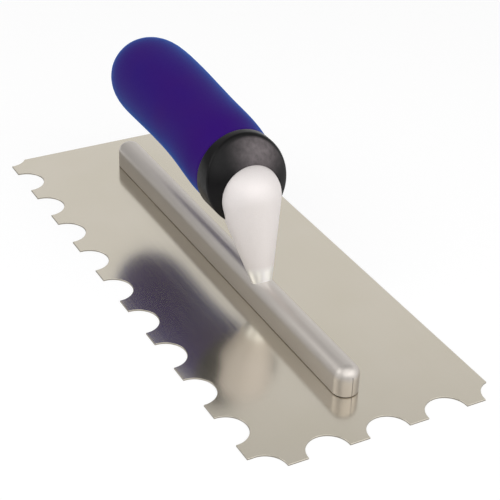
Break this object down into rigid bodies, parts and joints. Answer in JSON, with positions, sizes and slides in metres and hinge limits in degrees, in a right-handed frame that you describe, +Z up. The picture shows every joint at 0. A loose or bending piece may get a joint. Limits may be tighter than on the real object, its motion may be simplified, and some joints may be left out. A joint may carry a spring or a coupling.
{
  "type": "notched trowel",
  "caption": "Notched trowel with a round-notched stainless steel blade, a cast aluminium bar and neck, and a blue soft-grip handle with a black collar.",
  "frame": {"origin": "centre of the blade's underside", "axes": "+X along the blade towards the notched toe, +Y towards the plain long edge, +Z up from the blade to the handle"},
  "size_m": [0.28, 0.115, 0.0845],
  "materials": {
    "blade_steel": "satin, rolled stainless sheet",
    "rivet_steel": "ground flush",
    "cast_aluminium": "satin, tumbled casting",
    "neck_aluminium": "satin, polished casting",
    "zinc_steel": "zinc plated",
    "black_plastic": "semi-gloss moulded",
    "core_plastic": "moulded",
    "blue_rubber": "soft-touch matt"
  },
  "bodies": {
    "root": {"blade": "blade_steel", "blade_rivets": "rivet_steel", "mounting_bar": "cast_aluminium", "neck": "neck_aluminium", "neck_screw": "zinc_steel", "collar": "black_plastic", "handle_core": "core_plastic", "grip": "blue_rubber", "handle_bolt": "zinc_steel", "bolt_washer": "zinc_steel"}
  },
  "joints": []
}
